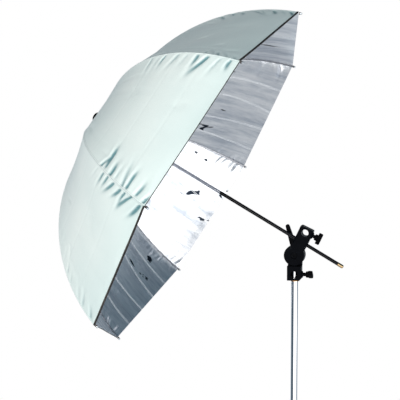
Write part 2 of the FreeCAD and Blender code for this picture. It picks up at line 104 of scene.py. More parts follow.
def rib_angle(k):
    return math.radians(FIRST_RIB) + 2 * HALF_STEP * k


# ---------------------------------------------------------------- cloth shape
# shares of a rib's length where the cloth is split into bands
BAND_ENDS = (0.07, 0.13, 0.20, 0.28, 0.36, 0.43, 0.50, 0.56, 0.62, 0.68, 0.73, 0.78, 0.82, 0.86, 0.90, 0.93,
             0.965, 1.0)
HOLE_LENGTH = CROWN_HOLE_R / math.cos(HALF_STEP) / math.cos(CROWN_SLOPE)
BAND_LENGTHS = [HOLE_LENGTH] + [RIB_LENGTH * share for share in BAND_ENDS]
ROW_STEP = 0.0029
EDGE_ROWS = (HEM, 0.0024, 0.0011)  # extra rows near the rim, measured back from it
COLUMNS = [0, 0.006, 0.013, 0.022, 0.033, 0.048, 0.066, 0.088, 0.113, 0.141, 0.172, 0.206,
           0.243, 0.283, 0.326, 0.372, 0.42, 0.47, 0.522, 0.576, 0.632, 0.69, 0.75, 0.812, 0.875, 0.938, 1.0]
# the puckers on each side of each rib's seam: how many, how far apart, how long, how deep and how slanted
PUCKERS = [
    ((4, 0.024, 0.030, 0.0016, 0.2), (9, 0.023, 0.038, 0.0034, -0.7)),
    ((5, 0.016, 0.026, 0.0034, 0.3), (9, 0.027, 0.046, 0.0032, 0.1)),
    ((8, 0.021, 0.052, 0.0044, -0.1), (8, 0.020, 0.048, 0.0040, 0.5)),
    ((7, 0.030, 0.034, 0.0022, 0.4), (3, 0.020, 0.030, 0.0020, 0.0)),
    ((4, 0.020, 0.030, 0.0024, 0.0), (4, 0.022, 0.034, 0.0026, 0.2)),
    ((7, 0.017, 0.030, 0.0030, 0.1), (7, 0.017, 0.034, 0.0030, -0.2)),
    ((4, 0.016, 0.034, 0.0026, 0.2), (5, 0.016, 0.030, 0.0026, -0.2)),
    ((6, 0.018, 0.040, 0.0034, 0.0), (4, 0.020, 0.026, 0.0018, 0.1)),
]
PANEL_STEP = 10.0  # between the textures of neighbouring panels, so that no two look the same
CREASE_DEPTH = 0.0022  # depth at which a pucker is fully shaded
SAG = 0.0035  # how far the cloth hangs in between two ribs
RIM_SAG = 0.0008
CREASE_FRACTIONS = (-0.62, -0.27, 0.08, 0.41, 0.73)  # creases from crown to rim, across a panel
CREASE_LENGTHS = (0.17, 0.25, 0.33, 0.41, 0.49)  # creases round the canopy, along a rib
HEM_EXTRA = 0.00035  # added to each face of the cloth at the hem
THREAD_R = 0.00035

random = np.random.default_rng(7)
wave_phase = random.uniform(0, 2 * math.pi, (RIBS, 8))
pucker_luck = random.uniform(0, 1, (RIBS, 2, 12, 6))
dents = random.uniform(0, 1, (RIBS, 7, 6))


def smooth(x):
    x = np.clip(x, 0, 1)
    return x * x * (3 - 2 * x)


def cloth_rows():
    """Every row of cloth by its length from the crown, with those where bands meet and the hem starts."""
    rows = []
    for first, last in zip(BAND_LENGTHS[:-1], BAND_LENGTHS[1:]):
        count = max(6, round((last - first) / ROW_STEP))
        rows += list(np.linspace(first, last, count, endpoint=False))
    rim = [RIB_LENGTH - back for back in EDGE_ROWS]
    rows = [a for a in rows if a < rim[0] - 0.0007]
    return np.array(rows + rim + [RIB_LENGTH])


def puckers(rib, side, from_rib, from_tip):
    """Short folds that run away from a rib's seam near its tip, where the cloth is pulled onto the rib."""
    count, step, length, depth, slant = PUCKERS[rib][side]
    lift = np.zeros_like(from_rib)
    for n in range(count):
        luck = pucker_luck[rib, side, n]
        at = 0.014 + step * (n + 0.55 * (luck[0] - 0.5))
        start = 0.002 + 0.010 * luck[1]
        long = length * (0.55 + 0.75 * luck[2])
        turn = slant + 0.5 * (luck[3] - 0.5)
        deep = depth * (0.35 + 0.75 * luck[4]) * (1 - 0.55 * n / count)
        v = np.clip(from_rib - start, 0, None) / long
        bend = 0.0025 * np.sin(3 * v + 6 * luck[5])
        width = 0.0028 + 0.0030 * luck[5] + 0.003 * v
        u = (from_tip - at - turn * from_rib - bend) / width
        window = smooth(from_rib / start) * np.exp(-(v / 0.75) ** 2.4)
        lift += deep * window * (0.30 * np.exp(-((u - 1.5) / 1.1) ** 2) - np.exp(-u * u))
    return lift * smooth(from_tip / 0.008)


def waves(panel, x, s, half_width):
    """Broad soft unevenness, the creases of a cloth that is kept folded, and a few sharp dents."""
    p = wave_phase[panel]
    soft = np.sin(x / 0.047 + s / 0.083 + p[0]) + np.sin(x / 0.071 - s / 0.059 + p[1])
    soft += 0.7 * np.sin(s / 0.038 + 1.3 * np.sin(x / 0.05 + p[2]) + p[3])
    soft += 0.35 * np.sin(x / 0.019 + 2 * np.sin(s / 0.045 + p[4]) + p[5])
    creases = np.zeros_like(x)
    for at in CREASE_LENGTHS:
        creases += 0.6 * np.exp(-((s - at - 0.010 * math.sin(p[6] + 90 * at)) / 0.0018) ** 2)
    for n, at in enumerate(CREASE_FRACTIONS):
        line = x - (at + 0.03 * math.sin(p[7] + 2.1 * n)) * half_width
        line = line - 0.002 * np.sin(s / 0.09 + n)
        creases += (0.7 + 0.3 * math.sin(p[2] + n)) * np.exp(-(line / 0.0016) ** 2)
    lift = 0.00055 * soft - 0.00075 * creases
    for d in dents[panel]:
        s_at = 0.20 + 0.33 * d[0]
        x_at = (1.5 * d[1] - 0.75) * s_at * 0.37
        turn = 0.5 * (d[2] - 0.5) * math.pi
        du = (s - s_at) * math.cos(turn) + (x - x_at) * math.sin(turn)
        dv = (x - x_at) * math.cos(turn) - (s - s_at) * math.sin(turn)
        long = 0.010 + 0.018 * d[3]
        lift -= (0.0008 + 0.0016 * d[4]) * np.exp(-(du / long) ** 2 - (dv / (0.0035 + 0.003 * d[5])) ** 2)
    return lift


def panel_surface(k):
    """The cloth between rib k and the next: its middle surface, its normals, and its cut positions."""
    rows = cloth_rows()
    cross = np.array([-(1 - c) for c in COLUMNS] + [1 - c for c in reversed(COLUMNS[:-1])])
    middle = rib_angle(k) + HALF_STEP
    out = heading(middle)
    side = -math.sin(middle) * BELOW + math.cos(middle) * ACROSS
    s = rows[:, None] + 0 * cross[None, :]
    slope, rho, down = profile(s)
    chord = rho * math.sin(HALF_STEP)
    x = chord * cross[None, :]
    normal = np.stack([np.sin(slope), 0 * s, -np.cos(slope) * math.cos(HALF_STEP)], -1)
    normal /= np.linalg.norm(normal, axis=-1, keepdims=True)
    at_rib = np.abs(cross[None, :]) ** 40
    for sign in (-1, 1):
        lean = np.stack([np.sin(slope), 0 * s, -np.cos(slope)], -1)
        turn = sign * HALF_STEP
        lean = np.stack([lean[..., 0] * math.cos(turn), lean[..., 0] * math.sin(turn), lean[..., 2]], -1)
        here = (at_rib * (np.sign(cross)[None, :] == sign))[..., None]
        normal = normal * (1 - here) + lean * here
    base = np.stack([rho * math.cos(HALF_STEP), x, down], -1) - normal * CLOTH / 2
    from_tip = RIB_LENGTH - s
    edge = smooth(from_tip / 0.02)
    share = np.clip(s / RIB_LENGTH, 0, 1)
    hang = SAG * np.sin(math.pi * np.clip(share ** 1.2, 0, 1)).clip(0) ** 1.2 + RIM_SAG * share
    lift = -hang * (1 - np.abs(cross[None, :]) ** 2.2)
    near = chord + x
    far = chord - x
    gathered = puckers(k, 1, near, from_tip) + puckers((k + 1) % RIBS, 0, far, from_tip)
    lift = lift + gathered
    # painted shade in the puckers' hollows, stored on the mesh for the outer cloth's colour
    crease = smooth(-gathered / CREASE_DEPTH) ** 1.4
    taper = smooth(near / 0.03) * smooth(far / 0.03) * smooth(s / 0.06)
    lift = lift + waves(k, x, s, chord) * taper * (0.35 + 0.65 * edge)
    seam = np.exp(-(near / 0.0028) ** 2) + np.exp(-(far / 0.0028) ** 2)
    lift = lift + 0.00035 * seam
    place = base + normal * lift[..., None]
    basis = np.array([out, side, DOWN])
    place = APEX + place @ basis
    offset = normal @ basis
    du = np.gradient(place, axis=1)
    dv = np.gradient(place, axis=0)
    shade = np.cross(du, dv)
    shade /= np.linalg.norm(shade, axis=-1, keepdims=True)
    if (shade[len(rows) // 2, len(cross) // 2] @ out) < 0:
        shade = -shade
    return rows, place, offset, shade, crease, x, s, chord


def shell_mesh(name, outer, inner, shades, crease, rib_column, uv, panel_uvs, hem_rows, materials):
    """A closed thin shell between two grids of points, smooth outside and inside, flat at its edges."""
    rows, columns = outer.shape[:2]
    count = rows * columns
    grid = np.arange(count).reshape(rows, columns)
    a, b, c, d = grid[:-1, :-1], grid[:-1, 1:], grid[1:, 1:], grid[1:, :-1]
    outside = np.stack([a, d, c, b], -1).reshape(-1, 4)
    inside = np.stack([a, b, c, d], -1).reshape(-1, 4) + count
    first = grid[0]
    last = grid[-1]
    left = grid[:, 0]
    right = grid[:, -1]
    walls = []
    for line, flip in ((first, 0), (last, 1), (left, 1), (right, 0)):
        wall = np.stack([line[:-1], line[1:], line[1:] + count, line[:-1] + count], -1)
        walls.append(wall[:, ::-1] if flip else wall)
    walls = np.concatenate(walls)
    faces = np.concatenate([outside, inside, walls])
    points = np.concatenate([outer.reshape(-1, 3), inner.reshape(-1, 3)])

    # faces that point inwards are turned the other way
    centre = points[faces[: len(outside)]].mean(1)
    p0, p1, p2 = (points[outside[:, n]] for n in range(3))
    facing = np.einsum("ij,ij->i", np.cross(p1 - p0, p2 - p0), centre - (APEX + DOWN * CANOPY_DEPTH)).mean()
    if facing < 0:
        faces = faces[:, ::-1]

    mesh = bpy.data.meshes.new(name)
    mesh.vertices.add(len(points))
    mesh.vertices.foreach_set("co", points.astype(np.float32).ravel())
    mesh.loops.add(faces.size)
    mesh.loops.foreach_set("vertex_index", faces.astype(np.int32).ravel())
    mesh.polygons.add(len(faces))
    mesh.polygons.foreach_set("loop_start", np.arange(0, faces.size, 4, dtype=np.int32))
    mesh.polygons.foreach_set("loop_total", np.full(len(faces), 4, dtype=np.int32))
    row_of = np.repeat(np.arange(rows - 1), columns - 1)
    column_of = np.tile(np.arange(columns - 1), rows - 1)
    # hem rows in the dark binding: its edge row, widened over the whole hem as painted shade on some panels
    dark_rows = np.where(column_of < rib_column, hem_rows[0], hem_rows[1])
    hem = (row_of >= rows - 1 - dark_rows) * 2
    edge_faces = np.zeros(len(walls), int)
    edge_faces[columns - 1 : 2 * (columns - 1)] = 2 if max(hem_rows) else 0
    slots = np.concatenate([hem, np.ones(len(inside), int), edge_faces])
    mesh.polygons.foreach_set("material_index", slots.astype(np.int32))
    mesh.polygons.foreach_set("use_smooth", np.ones(len(faces), bool))
    mesh.update(calc_edges=True)
    # the painted pucker shade, kept as a point attribute
    depth = mesh.attributes.new(name="crease", type="FLOAT", domain="POINT")
    depth.data.foreach_set("value", np.tile(crease.ravel(), 2).astype(np.float32))
    layer = mesh.uv_layers.new(name="UVMap")
    flat = uv.reshape(-1, 2)
    flat = np.concatenate([flat, flat])
    layer.data.foreach_set("uv", flat[faces.ravel()].astype(np.float32).ravel())
    layer = mesh.uv_layers.new(name="PanelMap")
    face_column = np.concatenate([column_of, column_of, np.zeros(len(walls), int)])
    in_right = (face_column >= rib_column)[:, None, None]
    corners = faces % count
    panel_uv = np.where(in_right, panel_uvs[1].reshape(-1, 2)[corners], panel_uvs[0].reshape(-1, 2)[corners])
    layer.data.foreach_set("uv", panel_uv.astype(np.float32).ravel())

    normals = np.zeros((len(faces), 4, 3))
    use_right = column_of >= rib_column
    for start, sign, quads in ((0, 1, outside), (len(outside), -1, inside)):
        block = faces[start : start + len(quads)] % count
        picked = np.where(
            use_right[:, None, None],
            shades[1].reshape(-1, 3)[block],
            shades[0].reshape(-1, 3)[block],
        )
        normals[start : start + len(quads)] = picked * sign
    wall_faces = faces[2 * len(outside) :]
    w0, w1, w3 = (points[wall_faces[:, n]] for n in (0, 1, 3))
    wall_normal = np.cross(w1 - w0, w3 - w0)
    wall_normal /= np.linalg.norm(wall_normal, axis=-1, keepdims=True) + 1e-12
    normals[2 * len(outside) :] = wall_normal[:, None, :]
    mesh.normals_split_custom_set(normals.reshape(-1, 3).tolist())
    for material in materials:
        mesh.materials.append(material)
    return mesh


# ---------------------------------------------------------------- materials
def new_material(name):
    """A material with its Principled shader and a function that adds and links nodes."""
    material = bpy.data.materials.new(name)
    material.use_nodes = True
    tree = material.node_tree
    shader = tree.nodes["Principled BSDF"]

    def node(kind, settings=None, **inputs):
        made = tree.nodes.new(kind)
        for key, value in (settings or {}).items():
            setattr(made, key, value)
        for key, value in inputs.items():
            socket = made.inputs[int(key[1:])] if key[0] == "i" and key[1:].isdigit() else made.inputs[key]
            if isinstance(value, bpy.types.NodeSocket):
                tree.links.new(value, socket)
            else:
                socket.default_value = value
        return made

    return material, shader, node, tree


def ramp(node, value, low, high, low_colour, high_colour):
    """A colour that goes from one to the other as value goes from low to high."""
    made = node("ShaderNodeValToRGB", None, i0=value)
    made.color_ramp.elements[0].position = low
    made.color_ramp.elements[0].color = (*low_colour, 1)
    made.color_ramp.elements[1].position = high
    made.color_ramp.elements[1].color = (*high_colour, 1)
    return made.outputs[0]


def maths(node, operation, a, b=0.0, c=0.0):
    return node("ShaderNodeMath", {"operation": operation}, i0=a, i1=b, i2=c).outputs[0]


def cloth_lines(node):
    """The place in a panel's own cut, and the distances from the rib's seam and from the crown."""
    place = node("ShaderNodeUVMap", {"uv_map": "PanelMap"}).outputs[0]
    seam = node("ShaderNodeUVMap", {"uv_map": "UVMap"}).outputs[0]
    apart = node("ShaderNodeSeparateXYZ", None, i0=seam)
    return place, apart.outputs[0], apart.outputs[1]


def outer_cloth():
    """White nylon: a fine plain weave, a stitched seam along each rib with painted shade in its fold, painted
    shade towards the rim, and painted shade in the puckers.
    """
    material, shader, node, tree = new_material("cloth_outer_white")
    place, x, y = cloth_lines(node)
    weave_a = node("ShaderNodeTexWave", {"bands_direction": "X"}, Scale=620.0, Vector=place)
    weave_b = node("ShaderNodeTexWave", {"bands_direction": "Y"}, Scale=620.0, Vector=place)
    weave = maths(node, "MULTIPLY", weave_a.outputs["Fac"], weave_b.outputs["Fac"])
    cloud = node("ShaderNodeTexNoise", None, Scale=7.0, Detail=5.0, Roughness=0.55, Vector=place)
    tint = ramp(node, cloud.outputs["Fac"], 0.32, 0.68, (0.80, 0.885, 0.86), (0.87, 0.93, 0.90))
    near_seam = maths(node, "ABSOLUTE", x)
    seam_line = maths(node, "SUBTRACT", near_seam, 0.0031)
    seam_line = maths(node, "ABSOLUTE", seam_line)
    stitch = maths(node, "SINE", maths(node, "MULTIPLY", y, 2 * math.pi / 0.0028))
    stitch = maths(node, "GREATER_THAN", stitch, -0.35)
    thread = maths(node, "MULTIPLY", maths(node, "LESS_THAN", seam_line, 0.0004), stitch)
    # painted shade: a dark line right on the seam, where the cloth folds in
    seam_fold_shade = maths(node, "LESS_THAN", near_seam, 0.00045)
    seam_fold_shade = maths(node, "MULTIPLY", seam_fold_shade, 0.62)
    dark = maths(node, "MAXIMUM", maths(node, "MULTIPLY", thread, 0.45), seam_fold_shade)
    colour = node("ShaderNodeMix", {"data_type": "RGBA"}, i0=dark)
    tree.links.new(tint, colour.inputs[6])
    colour.inputs[7].default_value = (0.26, 0.31, 0.33, 1)
    # painted shade: the cloth is darker towards the rim
    rim = ramp(node, y, 0.40, 0.566, (1, 1, 1), (0.80, 0.86, 0.87))
    rim_shade_mix = node("ShaderNodeMix", {"data_type": "RGBA", "blend_type": "MULTIPLY"}, i0=1.0)
    tree.links.new(colour.outputs[2], rim_shade_mix.inputs[6])
    tree.links.new(rim, rim_shade_mix.inputs[7])
    # painted shade: the outer cloth is darkened to teal in the puckers' hollows
    depth = node("ShaderNodeAttribute", {"attribute_name": "crease"}).outputs["Fac"]
    folded = node("ShaderNodeMix", {"data_type": "RGBA", "blend_type": "MULTIPLY"}, i0=depth)
    tree.links.new(rim_shade_mix.outputs[2], folded.inputs[6])
    folded.inputs[7].default_value = (0.17, 0.32, 0.36, 1)
    tree.links.new(folded.outputs[2], shader.inputs["Base Color"])
    crumple = node("ShaderNodeTexNoise", None, Scale=70.0, Detail=6.0, Roughness=0.6, Vector=place)
    rough = node("ShaderNodeMapRange", None, Value=crumple.outputs["Fac"])
    rough.inputs[3].default_value = 0.42
    rough.inputs[4].default_value = 0.62
    tree.links.new(rough.outputs[0], shader.inputs["Roughness"])
    height = maths(node, "MULTIPLY_ADD", weave, 0.12, crumple.outputs["Fac"])
    height = maths(node, "ADD", height, maths(node, "MULTIPLY", thread, 0.8))
    bump = node("ShaderNodeBump", None, Strength=0.22, Distance=0.0006, Height=height)
    tree.links.new(bump.outputs[0], shader.inputs["Normal"])
    shader.inputs["Sheen Weight"].default_value = 0.15
    shader.inputs["Subsurface Weight"].default_value = 0.0
    return material


def inner_cloth():
    """Silver coating: bright metallic cloth with painted highlights along fold lines, painted streaks of
    darker and brighter reflection and a few painted dark reflections.
    """
    material, shader, node, tree = new_material("cloth_inner_silver")
    place, x, y = cloth_lines(node)
    # streaks of darker and brighter reflection, painted into the silver's colour
    stretch = node("ShaderNodeMapping", None, Vector=place)
    stretch.inputs["Scale"].default_value = (34.0, 5.0, 1.0)
    streak = node("ShaderNodeTexNoise", None, Scale=1.0, Detail=7.0, Roughness=0.65,
                  Vector=stretch.outputs[0])
    tint = ramp(node, streak.outputs["Fac"], 0.36, 0.58, (0.50, 0.54, 0.60), (0.90, 0.91, 0.93))

    # painted dark reflections, drawn out across the panel near the rim and along it elsewhere
    drawn = node("ShaderNodeMapping", None, Vector=place)
    drawn.inputs["Scale"].default_value = (30.0, 11.0, 1.0)
    dark_reflection = node("ShaderNodeTexNoise", None, Scale=1.0, Detail=3.0, Roughness=0.55, Distortion=0.6,
                Vector=drawn.outputs[0])
    dark_reflection = node("ShaderNodeMapRange", None, Value=dark_reflection.outputs["Fac"])
    dark_reflection.inputs[1].default_value = 0.665
    dark_reflection.inputs[2].default_value = 0.69
    with_dark_reflections = node("ShaderNodeMix", {"data_type": "RGBA"}, i0=dark_reflection.outputs[0])
    tree.links.new(tint, with_dark_reflections.inputs[6])
    with_dark_reflections.inputs[7].default_value = (0.015, 0.022, 0.035, 1)

    # painted highlights along folds that fan out from the crown: their distance from the seam grows with the
    # distance from it
    share = maths(node, "DIVIDE", x, maths(node, "MAXIMUM", y, 0.02))
    wander = node("ShaderNodeTexNoise", None, Scale=6.0, Detail=2.0, Vector=place)
    share = maths(node, "MULTIPLY_ADD", wander.outputs["Fac"], 0.030, share)
    line = maths(node, "PINGPONG", share, 0.062)
    line = maths(node, "MULTIPLY", maths(node, "SUBTRACT", line, 0.003), y)
    line = maths(node, "LESS_THAN", maths(node, "ABSOLUTE", line), 0.0007)
    seam = maths(node, "LESS_THAN", maths(node, "ABSOLUTE", x), 0.0016)
    pale = maths(node, "MAXIMUM", maths(node, "MULTIPLY", line, 0.75), maths(node, "MULTIPLY", seam, 0.85))
    colour = node("ShaderNodeMix", {"data_type": "RGBA"}, i0=pale)
    tree.links.new(with_dark_reflections.outputs[2], colour.inputs[6])
    colour.inputs[7].default_value = (0.93, 0.95, 0.97, 1)
    tree.links.new(colour.outputs[2], shader.inputs["Base Color"])
    # the painted highlights are made less metallic, so they stay pale
    shine = maths(node, "MULTIPLY_ADD", pale, -0.85, 0.88)
    tree.links.new(shine, shader.inputs["Metallic"])
    rough = ramp(node, streak.outputs["Fac"], 0.35, 0.7, (0.40, 0.40, 0.40), (0.26, 0.26, 0.26))
    tree.links.new(rough, shader.inputs["Roughness"])
    crinkle = node("ShaderNodeTexNoise", None, Scale=42.0, Detail=8.0, Roughness=0.62, Vector=place)
    height = maths(node, "ADD", crinkle.outputs["Fac"], maths(node, "MULTIPLY", streak.outputs["Fac"], 0.8))
    bump = node("ShaderNodeBump", None, Strength=0.5, Distance=0.0012, Height=height)
    tree.links.new(bump.outputs[0], shader.inputs["Normal"])
    return material


def binding():
    """The dark binding sewn over the rim: a ribbed tape."""
    material, shader, node, tree = new_material("rim_binding_dark")
    place, _, _ = cloth_lines(node)
    ribs = node("ShaderNodeTexWave", {"bands_direction": "X"}, Scale=190.0, Vector=place)
    mottle = node("ShaderNodeTexNoise", None, Scale=60.0, Detail=4.0, Vector=place)
    tint = ramp(node, mottle.outputs["Fac"], 0.35, 0.7, (0.012, 0.011, 0.011), (0.045, 0.034, 0.028))
    tree.links.new(tint, shader.inputs["Base Color"])
    shader.inputs["Roughness"].default_value = 0.75
    bump = node("ShaderNodeBump", None, Strength=0.4, Distance=0.0003, Height=ribs.outputs["Fac"])
    tree.links.new(bump.outputs[0], shader.inputs["Normal"])
    return material


def metal(name, dark, light, roughness, scale=60.0, streak=(1, 1, 1), metallic=1.0, bump=0.08, coat=0.0,
          specular=0.5):
    """Metal with fine colour and gloss variation, drawn out along one axis if streak says so."""
    material, shader, node, tree = new_material(name)
    place = node("ShaderNodeTexCoord").outputs["Object"]
    mapped = node("ShaderNodeMapping", None, Vector=place)
    mapped.inputs["Scale"].default_value = streak
    grain = node("ShaderNodeTexNoise", None, Scale=scale, Detail=6.0, Roughness=0.6, Vector=mapped.outputs[0])
    tree.links.new(ramp(node, grain.outputs["Fac"], 0.3, 0.7, dark, light), shader.inputs["Base Color"])
    low = max(0.03, roughness * 0.75)
    high = roughness * 1.25
    gloss = ramp(node, grain.outputs["Fac"], 0.3, 0.7, (high,) * 3, (low,) * 3)
    tree.links.new(gloss, shader.inputs["Roughness"])
    made = node("ShaderNodeBump", None, Strength=bump, Distance=0.0003, Height=grain.outputs["Fac"])
    tree.links.new(made.outputs[0], shader.inputs["Normal"])
    shader.inputs["Metallic"].default_value = metallic
    shader.inputs["Coat Weight"].default_value = coat
    shader.inputs["Specular IOR Level"].default_value = specular
    return material


def worn_black(name, body, rub, roughness, grain_scale, wear, specular=0.012):
    """Black paint or moulding with a fine texture and a few paler rubbed specks."""
    material, shader, node, tree = new_material(name)
    place = node("ShaderNodeTexCoord").outputs["Object"]
    grain = node("ShaderNodeTexNoise", None, Scale=grain_scale, Detail=5.0, Roughness=0.65, Vector=place)
    scuff = node("ShaderNodeTexNoise", None, Scale=95.0, Detail=7.0, Roughness=0.7, Vector=place)
    chips = node("ShaderNodeMapRange", None, Value=scuff.outputs["Fac"])
    chips.inputs[1].default_value = 0.62
    chips.inputs[2].default_value = 0.80
    chips.inputs[4].default_value = wear
    colour = node("ShaderNodeMix", {"data_type": "RGBA"}, i0=chips.outputs[0])
    paler = tuple(1.9 * c for c in body)
    tree.links.new(ramp(node, scuff.outputs["Fac"], 0.3, 0.75, body, paler), colour.inputs[6])
    colour.inputs[7].default_value = (*rub, 1)
    tree.links.new(colour.outputs[2], shader.inputs["Base Color"])
    dull = (roughness * 1.2,) * 3
    bright = (roughness * 0.8,) * 3
    gloss = ramp(node, scuff.outputs["Fac"], 0.3, 0.7, dull, bright)
    tree.links.new(gloss, shader.inputs["Roughness"])
    made = node("ShaderNodeBump", None, Strength=0.18, Distance=0.0002, Height=grain.outputs["Fac"])
    tree.links.new(made.outputs[0], shader.inputs["Normal"])
    shader.inputs["Specular IOR Level"].default_value = specular
    return material


def half_painted_shaft():
    """A shaft that is bare steel inside the canopy and gloss black from the rim down."""
    material, shader, node, tree = new_material("shaft_steel_and_black")
    place = node("ShaderNodeTexCoord").outputs["Object"]
    grain = node("ShaderNodeTexNoise", None, Scale=160.0, Detail=5.0, Roughness=0.6, Vector=place)
    along = node("ShaderNodeVectorMath", {"operation": "DOT_PRODUCT"}, i0=place)
    along.inputs[1].default_value = tuple(DOWN)
    past = maths(node, "SUBTRACT", along.outputs["Value"], float(APEX @ DOWN) + PAINT_FROM_CROWN)
    painted = maths(node, "GREATER_THAN", past, 0.0)
    steel = ramp(node, grain.outputs["Fac"], 0.3, 0.7, (0.62, 0.60, 0.64), (0.76, 0.75, 0.78))
    black = ramp(node, grain.outputs["Fac"], 0.3, 0.7, (0.003, 0.003, 0.004), (0.008, 0.008, 0.010))
    colour = node("ShaderNodeMix", {"data_type": "RGBA"}, i0=painted)
    tree.links.new(steel, colour.inputs[6])
    tree.links.new(black, colour.inputs[7])
    tree.links.new(colour.outputs[2], shader.inputs["Base Color"])
    tree.links.new(maths(node, "SUBTRACT", 1.0, painted), shader.inputs["Metallic"])
    gloss = node("ShaderNodeMapRange", None, Value=grain.outputs["Fac"])
    gloss.inputs[3].default_value = 0.18
    gloss.inputs[4].default_value = 0.30
    tree.links.new(gloss.outputs[0], shader.inputs["Roughness"])
    shader.inputs["Specular IOR Level"].default_value = 0.15
    return material


OUTER = outer_cloth()
INNER = inner_cloth()
BINDING = binding()
THREAD = metal("dark_thread", (0.030, 0.022, 0.018), (0.085, 0.060, 0.045), 0.8, 900.0, metallic=0.0,
               bump=0.3)
CHROME = metal("chrome_tube", (0.78, 0.78, 0.80), (0.88, 0.88, 0.90), 0.09, 30.0, (1, 1, 0.06), bump=0.02)
STEEL = metal("turned_steel", (0.52, 0.52, 0.54), (0.66, 0.66, 0.67), 0.26, 240.0, (1, 1, 6), bump=0.1)
RIB_STEEL = metal("rib_steel", (0.40, 0.41, 0.44), (0.58, 0.59, 0.62), 0.30, 120.0, bump=0.06)
SPRING = metal("spring_steel", (0.42, 0.43, 0.46), (0.58, 0.58, 0.60), 0.24, 300.0, bump=0.05)
BRASS = metal("copper_brass_ring", (0.55, 0.27, 0.11), (0.70, 0.40, 0.18), 0.28, 150.0, bump=0.06)
TIP_BRASS = metal("brass_tip", (0.50, 0.33, 0.16), (0.72, 0.53, 0.30), 0.27, 160.0, bump=0.06)
CASTING = worn_black("black_casting", (0.0018, 0.0021, 0.0030), (0.05, 0.055, 0.065), 0.38, 1500.0, 0.35)
MOULDING = worn_black("black_moulding", (0.0016, 0.0016, 0.0020), (0.02, 0.02, 0.024), 0.42, 1100.0, 0.2)
LEVER_PAINT = worn_black("black_lever_paint", (0.0018, 0.0020, 0.0026), (0.06, 0.065, 0.07), 0.30, 900.0,
                         0.35)
SHAFT_PAINT = half_painted_shaft()
TIP_CAP = metal("rib_tip_steel", (0.52, 0.56, 0.60), (0.70, 0.73, 0.76), 0.30, 400.0)
FIBRE = metal("friction_fibre", (0.22, 0.15, 0.10), (0.36, 0.27, 0.19), 0.8, 500.0, metallic=0.0, bump=0.3)
NYLON = metal("nylon_plug", (0.74, 0.73, 0.68), (0.85, 0.84, 0.80), 0.5, 200.0, metallic=0.0)
FELT = metal("washer_felt", (0.02, 0.02, 0.022), (0.05, 0.05, 0.055), 0.85, 800.0, metallic=0.0, bump=0.5)

NODE_MATERIALS = {
    "riser_tube": CHROME,
    "riser_seat_ring": BRASS,
    "riser_foot_spigot": STEEL,
    "lower_socket_body": CASTING,
    "upper_socket_body": CASTING,
    "tilt_pivot_bolt": LEVER_PAINT,
    "tilt_friction_disc": FIBRE,
    "riser_clamp_knob": MOULDING,
    "accessory_clamp_knob": MOULDING,
    "riser_clamp_screw": STEEL,
    "accessory_clamp_screw": STEEL,
    "tilt_lock_lever": LEVER_PAINT,
    "lever_screw": STEEL,
    "shaft_friction_plug": NYLON,
    "shaft_friction_screw": STEEL,
    "shaft_tube": SHAFT_PAINT,
    "shaft_end_tip": TIP_BRASS,
    "crown_notch": MOULDING,
    "crown_ring": SPRING,
    "crown_washer": FELT,
    "crown_cap": MOULDING,
    "runner_stop_pin": STEEL,
    "runner_catch": SPRING,
    "runner": MOULDING,
}
for n in range(1, RIBS + 1):
    NODE_MATERIALS[f"rib_{n}"] = RIB_STEEL
    NODE_MATERIALS[f"rib_tip_{n}"] = TIP_CAP
    NODE_MATERIALS[f"stretcher_{n}"] = RIB_STEEL


def dress_nodes():
    """Gives every CAD node that shows its own material."""
    for name, material in NODE_MATERIALS.items():
        for slot in frame["nodes"][name].material_slots:
            slot.material = material


# ---------------------------------------------------------------- canopy
def canopy():
    """The cloth, as one gore on each rib, in bands that ride on that rib."""
    panels = [panel_surface(k) for k in range(RIBS)]
    for k in range(RIBS):
        rows, _, _, _, _, x, s, chord = panels[k]
        before = panels[k - 1]
        half = len(COLUMNS) - 1
        left = [before[i][:, half:] for i in range(1, 5)]
        right = [panels[k][i][:, : half + 1] for i in range(1, 5)]
        middle = np.concatenate([left[0][:, :-1], right[0]], axis=1)
        push = np.concatenate([left[1][:, :-1], right[1]], axis=1)
        shade_left = np.concatenate([left[2], right[2][:, 1:]], axis=1)
        shade_right = np.concatenate([left[2][:, :-1], right[2]], axis=1)
        crease = np.concatenate([left[3][:, :-1], right[3]], axis=1)
        from_seam = np.concatenate([(before[5] - before[7])[:, half:-1], (x + chord)[:, : half + 1]], axis=1)
        length = s[:, :1] + 0 * from_seam
        uv = np.stack([from_seam, length], -1)
        across_left = np.concatenate([before[5][:, half:], x[:, 1 : half + 1]], axis=1)
        across_right = np.concatenate([before[5][:, half:-1], x[:, : half + 1]], axis=1)
        shifted = ((across_left, (k - 1) % RIBS), (across_right, k))
        panel_uvs = [np.stack([across + PANEL_STEP * panel, length], -1) for across, panel in shifted]
        from_rim = RIB_LENGTH - s[:, 0]
        thick = CLOTH / 2 + HEM_EXTRA * (from_rim < HEM + 1e-6)
        outer = middle + push * thick[:, None, None]
        inner = middle - push * thick[:, None, None]
        for band, (first, last) in enumerate(zip(BAND_LENGTHS[:-1], BAND_LENGTHS[1:])):
            keep = np.where((rows > first - 1e-9) & (rows < last + 1e-9))[0]
            if keep[-1] + 1 < len(rows) and rows[keep[-1]] < last - 1e-9:
                keep = np.append(keep, keep[-1] + 1)
            # on the panels listed at the top, the dark binding covers the whole hem as painted shade; on the
            # rest only its edge row
            hem_rows = [len(EDGE_ROWS) if p in SHADED_HEM_PANELS else 1 for p in ((k - 1) % RIBS, k)]
            if band < len(BAND_LENGTHS) - 2:
                hem_rows = [0, 0]
            name = f"canopy_gore_{k + 1}_band_{band + 1}"
            mesh = shell_mesh(
                name, outer[keep], inner[keep], (shade_left[keep], shade_right[keep]), crease[keep], half,
                uv[keep], [grid[keep] for grid in panel_uvs], hem_rows, (OUTER, INNER, BINDING),
            )
            piece = bpy.data.objects.new(name, mesh)
            bpy.context.scene.collection.objects.link(piece)
            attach(piece, f"rib_{k + 1}")
            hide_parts(f"canopy_gore_{k + 1}")
            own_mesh(piece)


